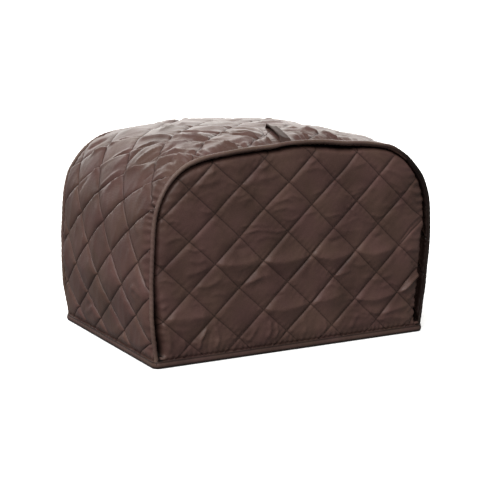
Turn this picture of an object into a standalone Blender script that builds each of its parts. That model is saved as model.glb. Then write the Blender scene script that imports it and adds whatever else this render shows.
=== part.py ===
"""A quilted cloth cover for a two-slice toaster.

Two arched panels are joined by one long gusset that runs up one side, over the top and down the other.
Piping stands in both seams, a folded binding closes the hem, and a narrow strap is sewn across the top.
Metres, +Z up. The origin is on the surface the hem stands on, at the middle of the cover.
"""

import math

import bmesh
import bpy

# Overall size
WIDTH = 0.305  # between the two seams, at the hem
DEPTH = 0.215  # between the front and back piping
HEIGHT = 0.2037  # to the seam at the crown of the arch

# The arch of both panels: a wide top arc, two corner arcs and two slightly bowed sides
TOP_RADIUS = 0.663
TOP_ANGLE = math.radians(8.2)  # the top arc reaches this far each side of upright
CORNER_RADIUS = 0.068
CORNER_ANGLE = math.radians(83.9)  # where a corner arc hands over to the side

# Cloth
CLOTH = 0.0020  # thickness along a quilting line
PUFF = 0.0030  # how far the wadding lifts the middle of a diamond
GAP = 0.0003  # left between pieces that are sewn together
SEAM_PINCH = 0.0100  # the wadding thins out over this width beside a seam
SEAM_SINK = 0.0010  # the gusset's edge lies this far inside the seam line
HEM_SPREAD = 0.0005  # at the hem, the walls stand this far outside the seam line
PANEL_RECESS = 0.0040  # the panel's edge lies this far behind the piping's middle

# Quilting: diamonds with these diagonals, in steps of a sixth
STEPS = 6
PANEL_DIAMOND = (0.0527, 0.0489)  # across and up
PANEL_CROSSING = (-0.0117, 0.0200)  # where two lines cross on the front panel
BACK_CROSSING = (0.0095, 0.0184)  # and on the back panel, seen from behind
GUSSET_DIAMOND = 0.0562  # across the gusset
GUSSET_ROWS = 79  # steps along its whole length, which set the other diagonal
GUSSET_CROSSING = (0.0241, 12)  # place across and row of one crossing
GUSSET_SKEW = -0.26  # the strip is cut a little off the cloth's grain
GUSSET_INNER = 6  # spans across the smooth inner face
PANEL_INNER_STEP = 3  # the panel's inner face keeps one column in three
LEFT, RIGHT = -1000, 1000  # stand for a sheet's edges in a row of columns
SLIVER = 0.35  # a column closer than this share of a step to an edge is left out

# How the filled strip stands away from a straight run between its seams
SIDE_BULGE = 0.0045
TOP_BULGE = 0.0065
BULGE_POWER = 2.5

# Piping
PIPING_RADIUS = 0.0023
PIPING_DRAW_IN = 0.0020  # how far its feet move in from the seam line, both ways
PIPING_STATIONS = 66
PATTERN_STATIONS = 74  # of the outline that both panels are cut to

# Hem binding, a folded strip with a U section
BINDING_HEIGHT = 0.0080
BINDING_CLOTH = 0.0010
BINDING_BOTTOM = 0.0016
BINDING_CORNER = 0.0070  # outer corner radius seen from above
HEM_STRAIGHT = 0.0088  # the walls are upright and flat up to here
HEM_FADE_END = 0.0200  # and have their full form from here
BULGE_RISE = 0.0700  # height over which the side's bulge grows from the hem

# Strap across the top
STRAP_WIDTH = 0.0105
STRAP_CLOTH = 0.0018
STRAP_LIFT = 0.0032  # how far its middle stands off the quilting
STRAP_FRONT = (-0.0120, -0.1020)
STRAP_BACK = (0.0045, -0.0460)
STRAP_FOOT = 0.0140  # reach of the dent where a sewn end presses the quilting flat
STRAP_STATIONS = 16

BROWN = (0.062, 0.043, 0.037)
PIPING_BROWN = (0.105, 0.078, 0.066)
BINDING_BROWN = (0.078, 0.057, 0.049)


def smooth(value):
    """0 below 0, 1 above 1, and a soft step between."""
    value = min(max(value, 0.0), 1.0)
    return value * value * (3.0 - 2.0 * value)


def hem_fade(height):
    """1 in the flat part that the binding holds, 0 where the cloth is free."""
    return 1.0 - smooth((height - HEM_STRAIGHT) / (HEM_FADE_END - HEM_STRAIGHT))


def right_arcs():
    """The arch's arcs from crown to hem: centre x, centre z, radius, first and last angle from upright."""
    top = (0.0, HEIGHT - TOP_RADIUS)
    reach = TOP_RADIUS - CORNER_RADIUS
    corner = (reach * math.sin(TOP_ANGLE), top[1] + reach * math.cos(TOP_ANGLE))
    across = WIDTH / 2 - corner[0]
    down = HEM_STRAIGHT - corner[1]
    along = across * math.sin(CORNER_ANGLE) + down * math.cos(CORNER_ANGLE)
    side_radius = (across**2 + down**2 + CORNER_RADIUS**2 - 2 * CORNER_RADIUS * along) / (
        2 * (CORNER_RADIUS - along)
    )
    back_off = CORNER_RADIUS - side_radius
    side = (
        corner[0] + back_off * math.sin(CORNER_ANGLE),
        corner[1] + back_off * math.cos(CORNER_ANGLE),
    )
    last = math.acos((HEM_STRAIGHT - side[1]) / side_radius)
    return [
        (*top, TOP_RADIUS, 0.0, TOP_ANGLE),
        (*corner, CORNER_RADIUS, TOP_ANGLE, CORNER_ANGLE),
        (*side, side_radius, CORNER_ANGLE, last),
    ]


ARCS = right_arcs()
HALF_LENGTH = sum(radius * (last - first) for _, _, radius, first, last in ARCS) + HEM_STRAIGHT
LENGTH = 2 * HALF_LENGTH


def arch(length):
    """Seam line at a length from the left hem: x, z and the outward direction's x and z."""
    side = 1.0 if length > HALF_LENGTH else -1.0
    left = abs(length - HALF_LENGTH)
    for x, z, radius, first, last in ARCS:
        run = radius * (last - first)
        if left <= run:
            angle = first + left / radius
            across, up = math.sin(angle), math.cos(angle)
            return side * (x + radius * across), z + radius * up, side * across, up
        left -= run
    return side * WIDTH / 2, HEM_STRAIGHT - left, side, 0.0


def seam_distance(x, z):
    """How far inside the seam line a point of a panel lies. Points outside give a negative value."""
    nearest = WIDTH
    for arc_x, arc_z, radius, first, last in ARCS:
        across, up = abs(x) - arc_x, z - arc_z
        if first <= math.atan2(across, up) <= last:
            nearest = min(nearest, radius - math.hypot(across, up))
    return min(nearest, WIDTH / 2 - abs(x)) if z < HEM_STRAIGHT else nearest


def puff(across, up):
    """Height of the wadding, from 0 on a quilting line to about 1 in the middle of a diamond.

    across and up are counted in diagonals of a diamond from a crossing.
    """
    rising, falling = across + up, across - up
    swell = math.sqrt(abs(math.sin(math.pi * rising) * math.sin(math.pi * falling)))
    uneven = math.sin(5.1 * math.floor(rising) + 2.7 * math.floor(falling))
    return swell * (0.93 + 0.12 * uneven)


def strap_dent(x, y):
    """1 under the sewn ends of the strap, 0 away from them."""
    away = min(math.hypot(x - foot[0], y - foot[1]) for foot in (STRAP_FRONT, STRAP_BACK))
    return math.exp(-((away / STRAP_FOOT) ** 4))


def gusset_edge(length):
    """Half the gusset's depth: it steps back at the hem, to leave the binding its rounded corner."""
    fade = hem_fade(min(length, LENGTH - length))
    free = DEPTH / 2 - PIPING_RADIUS - GAP
    held = DEPTH / 2 + HEM_SPREAD + GAP + BINDING_CLOTH - BINDING_CORNER
    return free + (held - free) * fade


def gusset_base(length, across):
    """How far the gusset's outer face stands off the seam line, on a quilting line.

    across runs from -1 at the front seam to 1 at the back one.
    """
    height = min(length, LENGTH - length)
    fade = hem_fade(height)
    up = max(arch(length)[3], 0.0)
    bulge = SIDE_BULGE + (TOP_BULGE - SIDE_BULGE) * up**2
    bulge *= smooth((height - HEM_STRAIGHT) / BULGE_RISE) * (1.0 - abs(across) ** BULGE_POWER)
    return bulge + HEM_SPREAD * fade - SEAM_SINK * (1.0 - fade)


def gusset_drift(length):
    """How far the skewed grain has carried the quilting across the gusset at a length."""
    return GUSSET_CROSSING[0] + GUSSET_SKEW * (length - GUSSET_CROSSING[1] * LENGTH / GUSSET_ROWS)


def gusset_column(length, y):
    """Steps across the quilting from its crossing."""
    return (y - gusset_drift(length)) / GUSSET_DIAMOND * STEPS


def gusset_swell(length, y):
    """The quilting's height there, pressed flat at the seams, the hem and the strap's sewn ends."""
    x, _, _, out_z = arch(length)
    row = length / LENGTH * GUSSET_ROWS - GUSSET_CROSSING[1]
    swell = puff(gusset_column(length, y) / STEPS, row / STEPS)
    swell *= smooth((gusset_edge(length) - abs(y)) / SEAM_PINCH)
    swell *= 1.0 - hem_fade(min(length, LENGTH - length))
    return swell * (1.0 - strap_dent(x, y)) if out_z > 0.5 else swell


def gusset_point(length, y, off):
    """A point of the gusset, off its outer face's quilting lines."""
    x, z, out_x, out_z = arch(length)
    off += gusset_base(length, y / gusset_edge(length))
    return x + off * out_x, y, z + off * out_z


def panel_base(x, z):
    """How far the panel's face stands in front of the piping's middle, on a quilting line."""
    free = 1.0 - hem_fade(z)
    inside = max(seam_distance(x, z), 0.0)
    return HEM_SPREAD - (HEM_SPREAD + PANEL_RECESS) * free * math.exp(-((inside / 0.018) ** 2))


def follows_rising(column, row):
    """Whether a cell's diagonal runs up to the right, so that the cell edges lie on the quilting lines."""
    rising = (column - row) % STEPS
    falling = (column + row + 1) % STEPS
    return min(rising, STEPS - rising) <= min(falling, STEPS - falling)


def new_material(name, colour, roughness):
    material = bpy.data.materials.new(name)
    material.use_nodes = True
    shader = material.node_tree.nodes["Principled BSDF"]
    shader.inputs["Base Color"].default_value = (*colour, 1.0)
    shader.inputs["Roughness"].default_value = roughness
    shader.inputs["Metallic"].default_value = 0.0
    return material


def add_object(name, data, collection, material=None):
    made = bpy.data.objects.new(name, data)
    collection.objects.link(made)
    if material:
        data.materials.append(material)
    return made


def quilted_loft(name, sections):
    """A closed mesh lofted through sections of a quilted sheet.

    Each section has its row, the columns and points of its outer face, and the points of its inner face.
    A column is a whole number of steps from a crossing, or LEFT or RIGHT at an edge of the sheet.
    """
    work = bmesh.new()
    made = []
    for row, outer, inner in sections:
        outer_verts = {column: work.verts.new(point) for column, point in outer.items()}
        made.append((row, outer_verts, [work.verts.new(point) for point in inner]))
    for (row, low, low_inner), (_, high, high_inner) in zip(made, made[1:]):
        shared = sorted(low.keys() & high.keys())
        for left, right in zip(shared, shared[1:]):
            below = [low[column] for column in sorted(low) if left <= column <= right]
            above = [high[column] for column in sorted(high) if left <= column <= right]
            corners = below + above[::-1]
            if len(corners) > 4 or right == RIGHT or left == LEFT:
                work.faces.new(corners)
            elif follows_rising(left, row):
                work.faces.new((corners[0], corners[1], corners[2]))
                work.faces.new((corners[0], corners[2], corners[3]))
            else:
                work.faces.new((corners[0], corners[1], corners[3]))
                work.faces.new((corners[1], corners[2], corners[3]))
        low_back = [low[shared[-1]], *reversed(low_inner), low[shared[0]]]
        high_back = [high[shared[-1]], *reversed(high_inner), high[shared[0]]]
        for step in range(len(low_back) - 1):
            work.faces.new((*low_back[step : step + 2], high_back[step + 1], high_back[step]))
    for _, outer, inner in (made[0], made[-1]):
        work.faces.new([outer[column] for column in sorted(outer)] + inner[::-1])
    bmesh.ops.recalc_face_normals(work, faces=work.faces)
    mesh = bpy.data.meshes.new(name)
    work.to_mesh(mesh)
    work.free()
    mesh.shade_smooth()
    mesh.set_sharp_from_angle(angle=math.radians(60.0))
    return mesh


def make_gusset(collection, material):
    """The strip, from hem to hem. Its columns follow the skewed quilting and end at the seams."""
    hem_edge = BINDING_BOTTOM + GAP
    step = GUSSET_DIAMOND / STEPS
    sections = []
    for number in range(GUSSET_ROWS + 1):
        length = min(max(number / GUSSET_ROWS * LENGTH, hem_edge), LENGTH - hem_edge)
        edge = gusset_edge(length)
        first = math.ceil(gusset_column(length, -edge + SLIVER * step))
        last = math.floor(gusset_column(length, edge - SLIVER * step))
        outer = {LEFT: gusset_point(length, -edge, 0.0), RIGHT: gusset_point(length, edge, 0.0)}
        for column in range(first, last + 1):
            y = gusset_drift(length) + column * step
            outer[column] = gusset_point(length, y, PUFF * gusset_swell(length, y))
        places = [edge * (2.0 * span / GUSSET_INNER - 1.0) for span in range(GUSSET_INNER + 1)]
        inner = [gusset_point(length, y, -CLOTH) for y in places]
        sections.append((number - GUSSET_CROSSING[1], outer, inner))
    return add_object("gusset", quilted_loft("gusset", sections), collection, material)


def panel_pattern(collection):
    """The pattern both panels are cut to, as a prism that runs through the whole depth."""
    curve = bpy.data.curves.new("panel_pattern", "CURVE")
    curve.dimensions = "2D"
    curve.fill_mode = "BOTH"
    curve.extrude = DEPTH
    hem_edge = BINDING_BOTTOM + GAP
    held_inset = BINDING_CORNER - HEM_SPREAD - BINDING_CLOTH
    points = []
    for station in range(PATTERN_STATIONS + 1):
        length = hem_edge + (LENGTH - 2 * hem_edge) * station / PATTERN_STATIONS
        x, z, out_x, out_z = arch(length)
        free_inset = SEAM_SINK + CLOTH + GAP
        inset = free_inset + (held_inset - free_inset) * hem_fade(z)
        points.append((x - inset * out_x, z - inset * out_z))
    spline = curve.splines.new("POLY")
    spline.points.add(len(points) - 1)
    for point, (x, z) in zip(spline.points, points):
        point.co = (x, z, 0.0, 1.0)
    spline.use_cyclic_u = True
    guide = bpy.data.objects.new("panel_pattern_guide", curve)
    guide.rotation_euler = (math.pi / 2, 0.0, 0.0)
    collection.objects.link(guide)
    bpy.context.view_layer.update()
    evaluated = guide.evaluated_get(bpy.context.evaluated_depsgraph_get())
    mesh = bpy.data.meshes.new_from_object(evaluated)
    work = bmesh.new()
    work.from_mesh(mesh)
    bmesh.ops.remove_doubles(work, verts=work.verts, dist=1e-6)
    bmesh.ops.recalc_face_normals(work, faces=work.faces)
    work.to_mesh(mesh)
    work.free()
    pattern = add_object("panel_pattern", mesh, collection)
    pattern.matrix_world = guide.matrix_world.copy()
    bpy.data.objects.remove(guide)
    pattern.hide_render = True
    pattern.display_type = "WIRE"
    return pattern


def make_panel(name, turn, crossing, pattern, collection, material):
    """A quilted panel, modelled as the front one and turned about +Z, then cut to the pattern."""
    margin = 0.004
    step_x, step_z = (diagonal / STEPS for diagonal in PANEL_DIAMOND)
    reach = WIDTH / 2 + 2 * margin
    first_column = math.floor((-reach - crossing[0]) / step_x)
    last_column = math.ceil((reach - crossing[0]) / step_x)
    first = math.ceil((HEM_STRAIGHT + step_z / 2 - crossing[1]) / step_z)
    last = math.ceil((HEIGHT + margin - crossing[1]) / step_z)
    heights = [(first - 2, -margin), (first - 1, HEM_STRAIGHT)]
    heights += [(row, crossing[1] + row * step_z) for row in range(first, last + 1)]
    sections = []
    for row, z in heights:
        outer, inner = {}, []
        for column in range(first_column, last_column + 1):
            x = crossing[0] + column * step_x
            base = -DEPTH / 2 - panel_base(x, z)
            swell = puff(column / STEPS, (z - crossing[1]) / PANEL_DIAMOND[1])
            swell *= smooth(seam_distance(x, z) / SEAM_PINCH) * (1.0 - hem_fade(z))
            outer[column] = (x, base - PUFF * swell, z)
            if (column - first_column) % PANEL_INNER_STEP == 0 or column == last_column:
                inner.append((x, base + CLOTH, z))
        sections.append((row, outer, inner))
    panel = add_object(name, quilted_loft(name, sections), collection, material)
    panel.rotation_euler = (0.0, 0.0, turn)
    cut = panel.modifiers.new("cut_to_pattern", "BOOLEAN")
    cut.operation = "INTERSECT"
    cut.solver = "EXACT"
    cut.object = pattern
    return panel


def make_piping(name, facing, collection, material):
    """A round cord along the arch seam. Its feet draw in to the binding's rounded corner, and end upright."""
    foot = BINDING_HEIGHT + 2 * GAP
    upright = foot + PIPING_RADIUS
    run = LENGTH - 2 * upright
    lengths = [upright + run * station / PIPING_STATIONS for station in range(PIPING_STATIONS + 1)]
    lengths = [foot, *lengths, LENGTH - foot]
    curve = bpy.data.curves.new(name, "CURVE")
    curve.dimensions = "3D"
    curve.bevel_depth = PIPING_RADIUS
    curve.bevel_resolution = 2
    curve.use_fill_caps = True
    spline = curve.splines.new("POLY")
    spline.points.add(len(lengths) - 1)
    for length, point in zip(lengths, spline.points):
        x, z, out_x, out_z = arch(length)
        inward = PIPING_DRAW_IN * hem_fade(z)
        point.co = (x - inward * out_x, facing * (DEPTH / 2 - inward), z - inward * out_z, 1.0)
    return add_object(name, curve, collection, material)


def binding_profile(collection):
    """The U section of the folded strip: across the wall, and up from the surface it stands on."""
    inner_half = CLOTH / 2 + GAP
    outer_half = inner_half + BINDING_CLOTH
    round_off = 0.0004
    right = [
        (outer_half - round_off, 0.0),
        (outer_half, round_off),
        (outer_half, BINDING_HEIGHT - round_off),
        (outer_half - round_off, BINDING_HEIGHT),
        (inner_half, BINDING_HEIGHT),
        (inner_half, BINDING_BOTTOM),
    ]
    points = [(-across, up) for across, up in right] + right[::-1]
    curve = bpy.data.curves.new("binding_profile", "CURVE")
    curve.dimensions = "2D"
    spline = curve.splines.new("POLY")
    spline.points.add(len(points) - 1)
    for point, (across, up) in zip(spline.points, points):
        point.co = (across, up, 0.0, 1.0)
    spline.use_cyclic_u = True
    profile = bpy.data.objects.new("binding_profile", curve)
    profile.hide_render = True
    profile.display_type = "WIRE"
    collection.objects.link(profile)
    return profile


def make_binding(collection, guides, material):
    """The binding: its U section swept round the hem, a rectangle with rounded corners."""
    wall_middle = HEM_SPREAD - CLOTH / 2
    half_x, half_y = WIDTH / 2 + wall_middle, DEPTH / 2 + wall_middle
    radius = BINDING_CORNER - CLOTH / 2 - GAP - BINDING_CLOTH
    corner_steps = 6
    points = []
    for quarter, (side_x, side_y) in enumerate(((1, 1), (-1, 1), (-1, -1), (1, -1))):
        for step in range(corner_steps + 1):
            angle = math.pi / 2 * (quarter + step / corner_steps)
            x = side_x * (half_x - radius) + radius * math.cos(angle)
            y = side_y * (half_y - radius) + radius * math.sin(angle)
            points.append((x, y))
    curve = bpy.data.curves.new("hem_binding", "CURVE")
    curve.dimensions = "3D"
    curve.twist_mode = "Z_UP"
    curve.bevel_mode = "OBJECT"
    curve.bevel_object = binding_profile(guides)
    spline = curve.splines.new("POLY")
    spline.points.add(len(points) - 1)
    for point, (x, y) in zip(spline.points, points):
        point.co = (x, y, 0.0, 1.0)
    spline.use_cyclic_u = True
    return add_object("hem_binding", curve, collection, material)


def top_height(x, y):
    """Highest point of the quilted top under a small patch of the strap."""
    reach = STRAP_WIDTH / 2
    highest = 0.0
    for side in (-1.0, -0.5, 0.0, 0.5, 1.0):
        for ahead in (-0.4, 0.0, 0.4):
            length = HALF_LENGTH + x + side * reach
            place = max(y + ahead * reach, -gusset_edge(length))
            highest = max(highest, gusset_point(length, place, PUFF * gusset_swell(length, place))[2])
    return highest


def make_strap(collection, guides, material):
    """A flat folded tape, sewn down at both ends and standing off the quilting between them."""
    half_width, half_cloth = STRAP_WIDTH / 2, STRAP_CLOTH / 2
    edge = half_cloth / 2
    profile_curve = bpy.data.curves.new("strap_profile", "CURVE")
    profile_curve.dimensions = "2D"
    right = [(half_width - edge, -half_cloth), (half_width, 0.0), (half_width - edge, half_cloth)]
    points = right[::-1] + [(-across, -up) for across, up in reversed(right)]
    spline = profile_curve.splines.new("POLY")
    spline.points.add(len(points) - 1)
    for point, (across, up) in zip(spline.points, points):
        point.co = (across, up, 0.0, 1.0)
    spline.use_cyclic_u = True
    profile = bpy.data.objects.new("strap_profile", profile_curve)
    profile.hide_render = True
    profile.display_type = "WIRE"
    guides.objects.link(profile)

    curve = bpy.data.curves.new("top_strap", "CURVE")
    curve.dimensions = "3D"
    curve.twist_mode = "Z_UP"
    curve.bevel_mode = "OBJECT"
    curve.bevel_object = profile
    curve.use_fill_caps = True
    spline = curve.splines.new("POLY")
    spline.points.add(STRAP_STATIONS)
    for station, point in enumerate(spline.points):
        along = station / STRAP_STATIONS
        x = STRAP_FRONT[0] + (STRAP_BACK[0] - STRAP_FRONT[0]) * along
        y = STRAP_FRONT[1] + (STRAP_BACK[1] - STRAP_FRONT[1]) * along
        lift = STRAP_LIFT * math.sin(math.pi * along)
        point.co = (x, y, top_height(x, y) + GAP + half_cloth + lift, 1.0)
    return add_object("top_strap", curve, collection, material)


def main():
    for old in list(bpy.data.objects):
        bpy.data.objects.remove(old)
    parts = bpy.data.collections.new("toaster_cover")
    guides = bpy.data.collections.new("cutters")
    for collection in (parts, guides):
        bpy.context.scene.collection.children.link(collection)

    make_gusset(parts, new_material("gusset_cloth", BROWN, 0.45))
    pattern = panel_pattern(guides)
    cloth = new_material("front_cloth", BROWN, 0.45)
    make_panel("front_panel", 0.0, PANEL_CROSSING, pattern, parts, cloth)
    cloth = new_material("back_cloth", BROWN, 0.45)
    make_panel("back_panel", math.pi, BACK_CROSSING, pattern, parts, cloth)
    make_piping("front_piping", -1.0, parts, new_material("front_piping_cloth", PIPING_BROWN, 0.5))
    make_piping("back_piping", 1.0, parts, new_material("back_piping_cloth", PIPING_BROWN, 0.5))
    make_binding(parts, guides, new_material("binding_cloth", BINDING_BROWN, 0.5))
    make_strap(parts, guides, new_material("strap_cloth", PIPING_BROWN, 0.5))


main()
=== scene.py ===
"""Looks of a quilted cloth toaster cover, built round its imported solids. Metres, +Z up, -Y is the front."""

import math

import bpy
import numpy as np
from mathutils import Matrix, Vector


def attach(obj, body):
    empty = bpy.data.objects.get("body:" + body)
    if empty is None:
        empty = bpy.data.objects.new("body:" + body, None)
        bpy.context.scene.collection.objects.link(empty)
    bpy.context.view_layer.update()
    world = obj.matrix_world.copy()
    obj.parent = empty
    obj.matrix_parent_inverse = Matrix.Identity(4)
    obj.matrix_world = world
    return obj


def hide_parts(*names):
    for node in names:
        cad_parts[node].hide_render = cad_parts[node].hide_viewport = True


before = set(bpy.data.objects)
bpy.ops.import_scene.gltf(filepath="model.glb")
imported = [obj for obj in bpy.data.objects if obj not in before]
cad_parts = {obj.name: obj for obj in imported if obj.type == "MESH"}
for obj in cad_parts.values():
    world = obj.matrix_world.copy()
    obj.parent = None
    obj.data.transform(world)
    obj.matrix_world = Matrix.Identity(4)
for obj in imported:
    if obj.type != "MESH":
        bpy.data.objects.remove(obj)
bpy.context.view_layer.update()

# Sizes that the solids have. Widths, depths and heights are those of the seam lines
WIDTH = 0.305
DEPTH = 0.215
HEIGHT = 0.2037
TOP_RADIUS = 0.663
TOP_ANGLE = math.radians(8.2)
CORNER_RADIUS = 0.068
CORNER_ANGLE = math.radians(83.9)
CLOTH = 0.0020
PIPING_RADIUS = 0.0020
PIPING_DRAW_IN = 0.0020
DRAW_IN_REACH = 0.0360
BINDING_HEIGHT = 0.0070
BINDING_CORNER = 0.0070
HEM_SPREAD = 0.0005
HEM_STRAIGHT = 0.0088
HEM_FADE_END = 0.0200
SIDE_BULGE = 0.0045
TOP_BULGE = 0.0065
BULGE_POWER = 2.5
BULGE_RISE = 0.0700
SEAM_SINK = 0.0004
STRAP_FRONT = (-0.0122, -0.1015)
STRAP_BACK = (0.0078, -0.0405)
STRAP_WIDTH = 0.0110

# How the front's seam has settled
SEAM_LEAN = 0.0056
SEAM_SETBACK = 0.0030
CREST_DIP = 0.0020

# Quilting: a diamond's width and height, and the place of one crossing of its lines
PANEL_DIAMOND = (0.0527, 0.0489)
FRONT_CROSSING = (-0.0117, 0.0200)
BACK_CROSSING = (0.0095, 0.0184)
GUSSET_DIAMOND = (0.0562, 0.0489)
GUSSET_CROSSING = (0.0978, 0.0241)
GUSSET_SKEW = -0.26
GRAIN_WAVE = 0.0050  # the gusset's lines sway across by this much
GRAIN_PERIOD = 0.196
ROW_WAVE = 0.0035  # and its rows bunch up by this much at the corner
ROW_PERIOD = 0.170
PANEL_SIDE, GUSSET_SIDE = (math.hypot(*diamond) / 2 for diamond in (PANEL_DIAMOND, GUSSET_DIAMOND))
WANDER = 0.0011  # a panel's lines stray by this much, in patches of this size
WANDER_PATCH = 0.045
DIAMOND_SIDE = 0.036  # about the side of a diamond on either cloth
PANEL_PUFF = 0.0022
GUSSET_PUFF = 0.0039
INNER_PUFF = 0.45  # share of the swell that shows on the inner face
GROOVE = 0.92  # the stitching pulls the swell down by this share
STITCH = 0.0030
THREAD = 0.00022

# Grids: steps to a diamond, and how near the edges come to the seam line and the hem
PANEL_STEPS, GUSSET_STEPS = ((30, 21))
PANEL_TUCK = 0.0014
GUSSET_TUCK = 0.0004
HEM_TUCK = 0.0030
HALF_GUSSET = DEPTH / 2 - GUSSET_TUCK


# ---- curves and noise
def smooth(value):
    """From 0 to 1, easing in and out."""
    value = np.clip(value, 0.0, 1.0)
    return value * value * (3.0 - 2.0 * value)


def ramp(value, start, width):
    """0 up to the start, 1 from a width further on."""
    return smooth((value - start) / width)


def bell(value, centre, width, power=2):
    """1 at the centre, dying out on both sides."""
    return np.exp(-(((value - centre) / width) ** power))


def unit(vectors):
    return vectors / np.maximum(np.linalg.norm(vectors, axis=-1, keepdims=True), 1e-12)


def fixed_draw(value):
    """A number from -1 to 1 that looks random, always the same for the same value."""
    value = np.sin(value) * 43758.5453
    return 2.0 * (value - np.floor(value)) - 1.0


def noise(x, y, seed):
    """Smooth noise from -1 to 1, with cells of 1."""
    x, y = np.broadcast_arrays(np.asarray(x, float), np.asarray(y, float))
    cell_x, cell_y = np.floor(x), np.floor(y)
    part_x, part_y = smooth(x - cell_x), smooth(y - cell_y)

    def row(up):
        left = fixed_draw(cell_x * 127.1 + (cell_y + up) * 311.7 + seed * 74.7)
        right = fixed_draw((cell_x + 1) * 127.1 + (cell_y + up) * 311.7 + seed * 74.7)
        return left * (1 - part_x) + right * part_x

    return row(0) * (1 - part_y) + row(1) * part_y


def chance(i, j, seed):
    """A fixed draw for each diamond."""
    return fixed_draw(i * 12.9898 + j * 78.233 + seed * 37.719)


def waves(run, length, sway, patch, seed):
    """Waves along a run, of uneven length."""
    return np.sin(2 * np.pi * run / length + sway * noise(run / patch, 0.0, seed))


def crumple(across, along, fine, coarse, seed):
    """Thin sharp creases that wander: fine across them and coarse along them."""
    bend = 0.8 * fine * noise(along / coarse * 1.5, across / coarse, seed + 9)
    first = 1.0 - 2.2 * np.abs(noise((across + bend) / fine, along / coarse, seed))
    second = 1.0 - 2.2 * np.abs(noise((across - bend) / fine * 1.7, along / coarse * 1.6, seed + 3))
    return np.clip(first, 0.0, 1.0) ** 1.5 + 0.6 * np.clip(second, 0.0, 1.0) ** 1.5 - 0.45


def streaks(across, along, fine, coarse, seed):
    """Long soft creases: coarse along them and fine across them."""
    bend = 0.35 * fine * noise(along / coarse * 1.7, across / coarse, seed + 9)
    value = noise((across + bend) / fine, along / coarse, seed)
    value = value + 0.5 * noise((across + bend) / fine * 1.9, along / coarse * 1.3, seed + 3)
    return np.clip(value, -1.2, 1.2)


def puckers(a, b, side, wave, seed):
    """Short waves that start at the stitching and die out within a few millimetres."""
    total = 0.0
    for line, along in ((a, b), (b, a)):
        near = np.abs(line - np.round(line)) * side
        run = along * side
        rank = np.round(line)
        phase = 2 * np.pi * run / wave + 2.6 * noise(run / 0.017, rank * 3.1, seed)
        patch = smooth(0.5 + 0.9 * noise(run / 0.028, rank * 1.7, seed + 5))
        total = total + np.sin(phase) * patch * np.exp(-near / 0.0045) * (1 - bell(near, 0.0, 0.0012))
    return total


def pillow(a, b, turned=0.0, lip=0.10, flat=0.70, skew=0.0):
    """The wadding's swell in a diamond, uneven from one to the next.

    Of the two families of lines one cuts deeper: the first where turned is 0, the other where it is 1.
    The lip is the roll of cloth beside that groove. A flat of 1 has no dome, and skew moves the dome aside.
    """
    i, j = np.floor(a), np.floor(b)
    u, v = a - i, b - j
    grooves = []
    for deep, thin, bite in ((v, u, 0.72), (1.0 - u, v, 0.55)):
        below = np.exp(-DIAMOND_SIDE * (1.0 - deep) / 0.0021)
        above = np.exp(-DIAMOND_SIDE * deep / 0.0017)
        groove = 1.0 - bite * np.exp(-DIAMOND_SIDE * np.minimum(thin, 1.0 - thin) / 0.0015)
        groove = groove * (1.0 - GROOVE * below - GROOVE * above)
        grooves.append(groove + lip * bell(DIAMOND_SIDE * deep, 0.0042, 0.0024))
    groove = grooves[0] + (grooves[1] - grooves[0]) * turned
    u = u ** (1.0 + 0.30 * chance(i, j, 1) + 1.5 * skew)
    v = v ** (0.85 + 0.25 * chance(i, j, 2))
    dome = (np.sin(np.pi * u) * np.sin(np.pi * v)).clip(0.0) ** 0.55
    lean = 0.16 * (chance(i, j, 4) * (u - 0.5) + chance(i, j, 5) * (v - 0.5))
    return np.maximum(groove, 0.0) * (flat + (1.0 - flat + 0.10 * chance(i, j, 3)) * dome + lean * dome)


def crease(x, z, fold):
    """A fold along a bent line, tapered at its ends: a ridge, or a trough where its height is negative."""
    *places, above, below, height = fold
    points = np.array(places, float).reshape(-1, 2) / 1000.0
    runs = np.linalg.norm(np.diff(points, axis=0), axis=1)
    starts = np.concatenate([[0.0], np.cumsum(runs)])
    near = np.full(np.shape(x), 9.0)
    beside, share = np.zeros_like(near), np.zeros_like(near)
    for number, run in enumerate(runs):
        ahead = (points[number + 1] - points[number]) / run
        off_x, off_z = x - points[number][0], z - points[number][1]
        along = np.clip(off_x * ahead[0] + off_z * ahead[1], 0.0, run)
        far_x, far_z = off_x - along * ahead[0], off_z - along * ahead[1]
        far = np.hypot(far_x, far_z)
        closer = far < near
        near = np.where(closer, far, near)
        beside = np.where(closer, np.sign(ahead[0] * far_z - ahead[1] * far_x), beside)
        share = np.where(closer, (starts[number] + along) / starts[-1], share)
    taper = ramp(share, 0.0, 0.22) * ramp(1.0 - share, 0.0, 0.22)
    reach = np.where(beside > 0, above, below) / 1000.0 * (0.45 + 0.55 * taper)
    return height / 1000.0 * taper * np.clip(1.0 - near / reach, 0.0, 1.0) ** 2


# ---- the seam line
def hem_fade(height):
    """1 at the binding, 0 where the cloth is free of it."""
    return 1.0 - ramp(height, HEM_STRAIGHT, HEM_FADE_END - HEM_STRAIGHT)


def drawn_in(height):
    """Towards the binding, the seams come in over a longer way than the cloth."""
    return 1.0 - ramp(height, HEM_STRAIGHT, DRAW_IN_REACH)


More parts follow.
